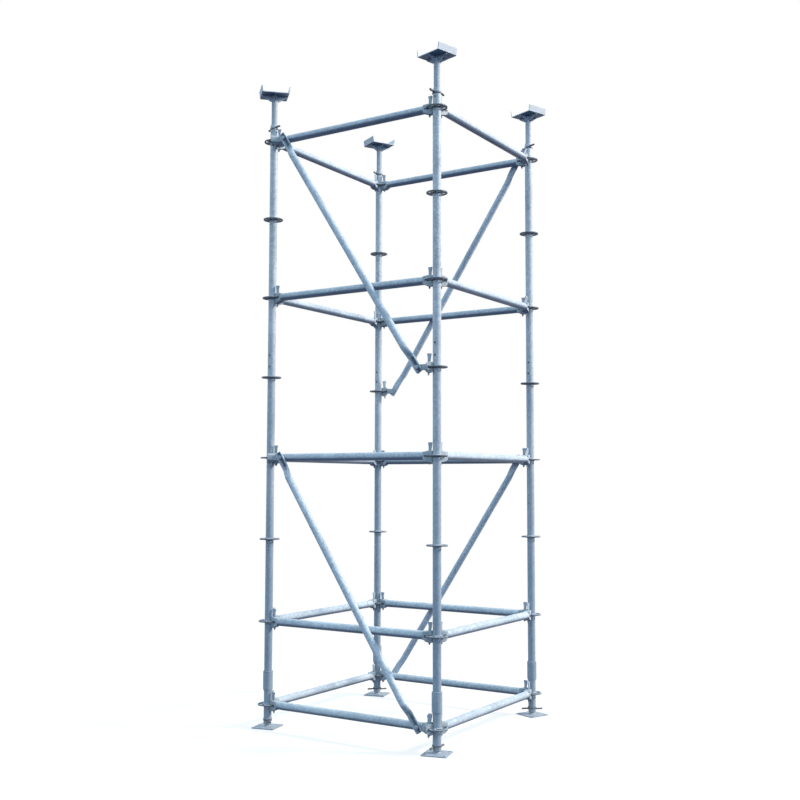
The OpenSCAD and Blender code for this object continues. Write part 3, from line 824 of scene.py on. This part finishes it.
@dataclass
class Braces:
    """The four diagonal braces, with tube ends flattened, dished and clipped.

    Attributes:
        radius: Outer radius of the tubes.
        rivet_out: Distance from a leg's axis to the rivet, along the bay.
        inner_face: Distance from the legs' plane to the flattened ends.
        flat: Half thickness of the flattened ends.
        half_width: Half width of the flattened ends.
        over: Length beyond the rivet.
        run: Length from the rivet to the end of the flat.
        taper: Length of the taper into the round tube.
        lead: How far into the taper the squared stretch begins.
        taper_steps: Sections of the taper.
        flat_steps: Place of each section of the flat, and how much narrower it is.
        clip_in: How much narrower the clipped tip is.
        square_bands: Half width of each strip that is squared, and how far it is squared.
        dish_bands: For each step of the pressed gutter, how far into the taper it starts,
            its half width, and how far it is pressed in.
        shade_least: Least painted shade of a pressed point.
        shade_middle: Its painted shade half way up the gutter.
        shade_reach: Height in which it grows by one.
        rim: Rounding of the flattened ends' rims.
        washer: Radius of the washers under the rivets' heads.
        washer_depth: Thickness of the washers.
        washer_in: Depth of a washer's middle in the flattened end.
        washer_rim: Rounding of the washers.
        drop: Ring plates from a brace's upper to its lower end.
        upper_levels: Ring plates of the braces' upper ends.
        head_edge: Rounding of the cast heads.
        rivet_edge: Rounding of the rivets.
    """

    radius: float = 0.0212
    rivet_out: float = 0.108
    inner_face: float = 0.0343
    flat: float = 0.005
    half_width: float = 0.023
    over: float = 0.034
    run: float = 0.066
    taper: float = 0.086
    lead: float = 0.004
    taper_steps: int = 10
    flat_steps: tuple[tuple[float, float], ...] = (
        (0.044, 0.0), (0.022, 0.0006), (0.0, 0.0012), (-0.016, 0.002), (-0.0285, 0.003)
    )
    clip_in: float = 0.0075
    square_bands: tuple[tuple[float, float], ...] = ((0.0205, 1.0), (0.0222, 0.62))
    dish_bands: tuple[tuple[float, float, float], ...] = (
        (0.008, 0.0178, 0.0018), (0.032, 0.0145, 0.0016), (0.056, 0.0100, 0.0012)
    )
    shade_least: float = 0.60
    shade_middle: float = 0.85
    shade_reach: float = 0.03
    rim: float = 0.0012
    washer: float = 0.0125
    washer_depth: float = 0.0062
    washer_in: float = 0.0026
    washer_rim: float = 0.0008
    drop: int = 3
    upper_levels: tuple[int, int] = (4, 8)
    head_edge: Softener = Softener(0.0012)
    rivet_edge: Softener = Softener(0.0007)

    def sections(self) -> list[Section]:
        """The sections from the round tube to the tip, on a smooth taper."""
        found = []
        for k in range(1, self.taper_steps + 1):
            share = k / self.taper_steps
            eased = share * share * (3 - 2 * share)
            thick = self.radius + (self.flat - self.radius) * eased
            wide = self.radius + (self.half_width - self.radius) * eased
            found.append(Section(self.run + self.taper * (1 - share), thick, wide))
        for along, narrower in (*self.flat_steps, (-self.over, self.clip_in)):
            found.append(Section(along, self.flat, self.half_width - narrower))
        return found

    def pattern(self, length: float) -> Piece:
        """Model one brace along X with its middle at the origin and its rivets on Y = 0.

        Args:
            length: Distance between the rivets.

        Returns:
            The brace.
        """
        half = length / 2
        round_end = half - self.run - self.taper
        piece = Bench.start(
            bpy.ops.mesh.primitive_cylinder_add,
            vertices=40,
            radius=self.radius,
            depth=round_end,
            end_fill_type="NOTHING",
            location=(round_end / 2, 0, 0),
            rotation=(0, math.pi / 2, 0),
        )
        Bench.settle(piece)
        Bench.edit(piece)
        last = Section(self.run + self.taper, self.radius, self.radius)
        Bench.pick(piece, "VERT", lambda v: v.co.x > round_end - 1e-5)
        for section in self.sections():
            self.extrude_to(last, section, half)
            last = section
        bpy.ops.mesh.edge_face_add()
        self.flatten(piece, half)
        self.press_dish(piece, half)
        Bench.modify(piece, "MIRROR", merge_threshold=0.00005)
        Bench.bevel(piece, self.rim, 38.0)
        Bench.shade(piece, 45.0)
        return piece

    def extrude_to(self, last: Section, section: Section, half: float) -> None:
        """Extrude the open end from the last section, which is selected, to the next one."""
        lift = last.thick - section.thick
        step = last.along - section.along
        bpy.ops.mesh.extrude_region_move(TRANSFORM_OT_translate={"value": (step, lift, 0)})
        centre = (half - section.along, self.radius - section.thick, 0)
        bpy.ops.transform.resize(
            value=(1, section.thick / last.thick, section.wide / last.wide), center_override=centre
        )

    def flatten(self, piece: Piece, half: float) -> None:
        """Square the oval of the flattened stretch, so that both its faces are plane.

        Args:
            piece: The brace in edit mode.
            half: Half the distance between the rivets.
        """
        start = half - self.run - self.lead
        middle = self.radius - self.flat
        for side in (-1, 1):
            plane = middle + side * self.flat
            for reach, share in self.square_bands:
                Bench.pick(piece, "VERT", lambda v: (
                    v.co.x > start and abs(v.co.z) < reach
                    and (v.co.y - middle) * side > 1e-6 and abs(v.co.y - plane) > 1e-7
                ))
                bpy.ops.transform.resize(value=(1, 1 - share, 1), center_override=(0, plane, 0))

    def press_dish(self, piece: Piece, half: float) -> None:
        """Press the outer wall in, so that the flattened end is a shallow gutter with raised rims.

        Args:
            piece: The brace in edit mode.
            half: Half the distance between the rivets.
        """
        middle = self.radius - self.flat
        deepest = sum(depth for _, _, depth in self.dish_bands)
        for back, reach, depth in self.dish_bands:
            start = half - self.run - back
            if Bench.pick(
                piece, "VERT", lambda v: v.co.x > start and abs(v.co.z) < reach and v.co.y < middle
            ):
                bpy.ops.transform.translate(value=(0, depth, 0))
                self.mark_gutter_shade(piece, depth / deepest)

    def mark_gutter_shade(self, piece: Piece, share: float) -> None:
        """Note on the selected points a further share of painted shade in the pressed gutter, most under
        the upper rim.
        """
        mesh = bmesh.from_edit_mesh(piece.data)
        layer = mesh.verts.layers.float.get("pressed") or mesh.verts.layers.float.new("pressed")
        for vertex in mesh.verts:
            if vertex.select:
                dark = self.shade_middle + vertex.co.z / self.shade_reach
                vertex[layer] += share * min(1.0, max(self.shade_least, dark))
        bmesh.update_edit_mesh(piece.data)

    def places(self, angle: float) -> list[Matrix]:
        """Places of the four braces.

        Args:
            angle: Slope of the braces.

        Returns:
            One place for each brace, the two of the front first.
        """
        corner = Leg.FRONT_LEFT.axis()
        heights = Standards.ring_heights(Leg.FRONT_LEFT)
        shift = -(self.inner_face + self.radius)
        found = []
        for turn in (0.0, math.pi):
            for level in self.upper_levels:
                middle = (heights[level - 1] + heights[level - 1 - self.drop]) / 2
                found.append(
                    Matrix.Rotation(turn, 4, "Z")
                    @ Matrix.Translation((0, corner.y + shift, middle))
                    @ Matrix.Rotation(angle, 4, "Y")
                )
        return found

    def seat_washers(self, length: float, places: list[Matrix]) -> None:
        """Fill the gutter under each rivet's head with a washer.

        Args:
            length: Distance between the rivets.
            places: Places of the braces.
        """
        outer = self.radius - 2 * self.flat
        washer = Bench.start(
            bpy.ops.mesh.primitive_cylinder_add,
            vertices=28,
            radius=self.washer,
            depth=self.washer_depth,
            rotation=(math.pi / 2, 0, 0),
        )
        Bench.settle(washer)
        Bench.bevel(washer, self.washer_rim, 60.0)
        Bench.shade(washer)
        offsets = [Matrix.Translation((s * length / 2, outer + self.washer_in, 0)) for s in (-1, 1)]
        seats = [place @ offset for place in places for offset in offsets]
        spread(washer, seats, "rivet_washers", TOWER, Finish.WEDGE)

    def build(self) -> None:
        """Model the braces and round their heads and rivets."""
        corner = Leg.FRONT_LEFT.axis()
        heights = Standards.ring_heights(Leg.FRONT_LEFT)
        across = 2 * (abs(corner.x) - self.rivet_out)
        rise = heights[self.drop] - heights[0]
        length, angle = math.hypot(across, rise), math.atan2(rise, across)
        pattern = self.pattern(length)
        places = self.places(angle)
        for side, chosen in (("front", places[:2]), ("back", places[2:])):
            piece = Bench.copies(pattern, chosen, f"braces_{side}")
            place_piece(piece, TOWER, Finish.BRACE, f"brace_tubes_{side}")
        Bench.discard(pattern)
        self.head_edge.renew("brace_heads", Finish.HEAD)
        self.rivet_edge.renew("brace_rivets", Finish.WEDGE)
        self.seat_washers(length, places)


@dataclass(frozen=True)
class Thread:
    """The rolled round thread of a jack spindle.

    Attributes:
        crest: Radius of the thread's crests.
        depth: Depth of the thread.
        pitch: Rise of one turn.
        steep: Steepness of the thread's flanks.
        root: How far its roots are widened.
        points: Points along one wave of the thread.
        steps: Steps round one turn.
        bore: Radius of the spindle's bore.
        bore_depth: Depth of the bore's modelled ends.
    """

    crest: float = 0.019
    depth: float = 0.0019
    pitch: float = 0.008
    steep: float = 1.35
    root: float = 0.12
    points: int = 6
    steps: int = 28
    bore: float = 0.014
    bore_depth: float = 0.06

    def wave(self) -> list[Vector]:
        """Points of one wave of the thread, from root to root."""
        found = []
        for k in range(self.points + 1):
            share = k / self.points
            swell = 0.5 - 0.5 * math.cos(2 * math.pi * share)
            rise = min(1.0, max(0.0, self.steep * swell - self.root))
            found.append(Vector((self.crest - self.depth * (1 - rise), 0, self.pitch * share)))
        return found

    def spindle(self, length: float) -> Piece:
        """Model a threaded tube from the origin up.

        Args:
            length: Length of the spindle.

        Returns:
            The spindle.
        """
        wave = self.wave()
        piece = Bench.start(bpy.ops.mesh.primitive_plane_add, size=0.001)
        Bench.edit(piece)
        bpy.ops.mesh.merge(type="CENTER")
        bpy.ops.transform.translate(value=wave[0] - Vector((0, 0, self.pitch)))
        for last, point in zip(wave, wave[1:]):
            bpy.ops.mesh.extrude_region_move(TRANSFORM_OT_translate={"value": point - last})
        Bench.modify(
            piece,
            "SCREW",
            angle=2 * math.pi,
            screw_offset=self.pitch,
            iterations=math.ceil(length / self.pitch) + 2,
            steps=self.steps,
            render_steps=self.steps,
            use_merge_vertices=True,
            merge_threshold=0.00001,
        )
        Bench.edit(piece)
        bpy.ops.mesh.remove_doubles(threshold=MERGE)
        for height, normal in ((0.0, -1), (length, 1)):
            bpy.ops.mesh.select_all(action="SELECT")
            bpy.ops.mesh.bisect(
                plane_co=(0, 0, height), plane_no=(0, 0, normal), use_fill=True, clear_outer=True
            )
            self.bore_end(piece, height, normal)
        bpy.ops.mesh.select_all(action="SELECT")
        bpy.ops.mesh.normals_make_consistent()
        Bench.shade(piece, 50.0)
        return piece

    def bore_end(self, piece: Piece, height: float, normal: int) -> None:
        """Sink the bore into the end at a height, which faces up for 1 and down for -1."""
        Bench.pick(piece, "FACE", lambda f: (
            abs(f.calc_center_median().z - height) < 1e-5 and f.normal.z * normal > 0.9
        ))
        bpy.ops.mesh.inset(thickness=self.crest - self.depth - self.bore)
        bpy.ops.mesh.inset(thickness=0.00001, depth=-self.bore_depth)


@dataclass
class Jacks:
    """The screw jacks: base plates and U-heads with their spindles and nuts.

    Attributes:
        thread: The spindles' thread.
        seam_in: Height of a seam's middle inside the spindle's end.
        seam_out: Distance of a seam's middle beyond the spindle.
        plate_edge: Rounding of the base plates and U-heads.
        nut_edge: Smoothing of the nuts, whose edges are in the solids.
        welds: The seams between spindles and plates.
    """

    thread: Thread = Thread()
    seam_in: float = 0.0008
    seam_out: float = 0.0004
    plate_edge: Softener = Softener(0.0009)
    nut_edge: Softener = Softener(0.0)
    welds: Welds = Welds(bead=0.0026)

    def build(self) -> None:
        """Model all eight jacks."""
        self.build_row("base", "base_plate")
        self.build_row("head", "u_head")

    def build_row(self, row: str, plate: str) -> None:
        """Model the four jacks of one row.

        Args:
            row: Base or head, as in the nodes' names.
            plate: The nodes' name for the piece welded to the spindle.
        """
        low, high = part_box(f"{row}_spindle_{Leg.FRONT_RIGHT.value}")
        pattern = self.thread.spindle(high.z - low.z)
        for leg in Leg:
            body = f"{row}_jack_{leg.value}"
            piece = Bench.copies(pattern, [leg.at(low.z)], f"{row}_screw_{leg.value}")
            place_piece(piece, body, Finish.SPINDLE, f"{row}_spindle_{leg.value}")
            self.plate_edge.renew(f"{plate}_{leg.value}", Finish.PLATE, body)
            seam = leg.at(low.z + self.seam_in if row == "base" else high.z - self.seam_in)
            radius = self.thread.crest + self.seam_out
            self.welds.lay(radius, [seam], f"{row}_seam_{leg.value}", body, Finish.PLATE)
            self.nut_edge.renew(f"{row}_nut_{leg.value}", Finish.NUT, f"{row}_nut_body_{leg.value}")
        Bench.discard(pattern)


# ---- studio


@dataclass
class Viewpoint:
    """The camera.

    Attributes:
        place: Where it stands.
        yaw: Turn from +Y towards -X, in degrees.
        pitch: Tilt above level, in degrees.
        roll: Turn about the line of sight, in degrees.
        lens: Focal length in millimetres on a 36 mm sensor.
    """

    place: tuple[float, float, float] = (3.6721, -5.7883, 1.4915)
    yaw: float = 32.6085
    pitch: float = 4.3555
    roll: float = 0.1426
    lens: float = 48.303

    def build(self) -> None:
        """Make the camera and look through it."""
        data = bpy.data.cameras.new("viewpoint")
        data.sensor_width = 36.0
        data.lens = self.lens
        data.clip_end = 100.0
        camera = Bench.new("viewpoint", data)
        turn = (
            Matrix.Rotation(math.radians(self.yaw), 4, "Z")
            @ Matrix.Rotation(math.radians(90 + self.pitch), 4, "X")
            @ Matrix.Rotation(math.radians(self.roll), 4, "Z")
        )
        camera.matrix_world = Matrix.Translation(self.place) @ turn
        bpy.context.scene.camera = camera


@dataclass
class Studio:
    """Floor, surrounding light and lamp.

    Attributes:
        key_power: Power of the lamp in watts.
        key_size: Width of the lamp.
        key_way: Direction from the tower's middle to the lamp.
        key_distance: Distance of the lamp.
        key_colour: Colour of the lamp's light.
        zenith: Light from straight above.
        horizon: Light from the sides.
        sky_band: Height on a unit sphere where the light from the sides ends and the other is full.
        bounce: Share of each colour's light that the floor throws back at the tower.
        floor_radius: Radius of the floor.
        floor_colour: Colour of the floor where it shows.
        floor_fade: Distances from the tower where the floor starts to fade and is white.
        floor_least: Share of white close to the tower.
    """

    key_power: float = 3500.0
    key_size: float = 2.6
    key_way: tuple[float, float, float] = (0.76, 0.42, 0.50)
    key_distance: float = 17.0
    key_colour: Colour = (1.0, 0.91, 0.82)
    zenith: Colour = (0.90, 1.25, 1.50)
    horizon: Colour = (0.65, 0.90, 1.10)
    sky_band: tuple[float, float] = (0.15, 0.75)
    bounce: Colour = (0.010, 0.028, 0.085)
    floor_radius: float = 40.0
    floor_colour: Colour = (0.95, 0.92, 0.88)
    floor_fade: tuple[float, float] = (0.9, 4.2)
    floor_least: float = 0.70

    def build(self) -> None:
        """Make the whole studio."""
        bpy.context.scene.view_settings.view_transform = "Standard"
        self.surround()
        self.lamp()
        self.floor()

    @staticmethod
    def seen(tree: Tree) -> Socket:
        """Where the background is looked at, straight or by reflection, as 0 or 1."""
        path = tree.add("ShaderNodeLightPath")
        both = tree.maths("ADD", path.outputs["Is Camera Ray"], path.outputs["Is Glossy Ray"])
        every = tree.maths("ADD", both, path.outputs["Is Transmission Ray"])
        return tree.maths("MINIMUM", every, 1.0)

    def surround(self) -> None:
        """White to look at, with pale blue light that is strongest from above."""
        world = bpy.data.worlds.new("surround")
        bpy.context.scene.world = world
        tree = empty_tree(world)
        way = tree.add("ShaderNodeTexCoord").outputs["Generated"]
        height = tree.add("ShaderNodeSeparateXYZ", {0: way}).outputs["Z"]
        share = tree.ranged(height, *self.sky_band, 0.0, 1.0)
        light = tree.mixed(share, self.horizon, self.zenith)
        shown = tree.add("ShaderNodeBackground", {"Color": (1, 1, 1, 1)})
        given = tree.add("ShaderNodeBackground", {"Color": light})
        both = tree.add(
            "ShaderNodeMixShader", {0: self.seen(tree), 1: given.outputs[0], 2: shown.outputs[0]}
        )
        tree.add("ShaderNodeOutputWorld", {"Surface": both.outputs[0]})

    def lamp(self) -> None:
        """One soft lamp high on the right."""
        data = bpy.data.lights.new("key", "AREA")
        data.energy = self.key_power
        data.shape = "DISK"
        data.size = self.key_size
        data.color = self.key_colour
        lamp = Bench.new("key", data)
        middle = Vector((0, 0, (CAD_BOX[0][2] + CAD_BOX[1][2]) / 2))
        way = Vector(self.key_way).normalized()
        lamp.location = middle + way * self.key_distance
        lamp.rotation_euler = way.to_track_quat("Z", "Y").to_euler()

    def floor(self) -> None:
        """A pale floor that keeps the tower's shadow and fades into the background."""
        circle = bpy.ops.mesh.primitive_circle_add
        floor = Bench.start(circle, vertices=96, radius=self.floor_radius, fill_type="NGON")
        floor.name = "floor"
        material = bpy.data.materials.new("floor")
        tree = empty_tree(material)
        place = tree.spot()
        out = tree.vectors("LENGTH", place).outputs["Value"]
        fade = tree.ranged(out, *self.floor_fade, self.floor_least, 1.0)
        pale = tree.add("ShaderNodeBsdfDiffuse", {"Color": (*self.floor_colour, 1)})
        white = tree.add("ShaderNodeEmission", {"Color": (1, 1, 1, 1)})
        dim = tree.add("ShaderNodeBsdfDiffuse", {"Color": (*self.bounce, 1)})
        shown = tree.add("ShaderNodeMixShader", {0: fade, 1: pale.outputs[0], 2: white.outputs[0]})
        both = tree.add(
            "ShaderNodeMixShader", {0: self.seen(tree), 1: dim.outputs[0], 2: shown.outputs[0]}
        )
        tree.add("ShaderNodeOutputMaterial", {"Surface": both.outputs[0]})
        floor.data.materials.append(material)


def main() -> None:
    """Build the tower's looks in order."""
    logging.basicConfig(level=logging.INFO, format="%(name)s %(message)s")
    Viewpoint().build()
    Studio().build()
    for assembly in (Standards(), Ledgers(), Braces(), Jacks()):
        LOG.info("building %s", type(assembly).__name__)
        assembly.build()
    Bench.clear()
    bpy.context.view_layer.update()


if __name__ == "__main__":
    main()
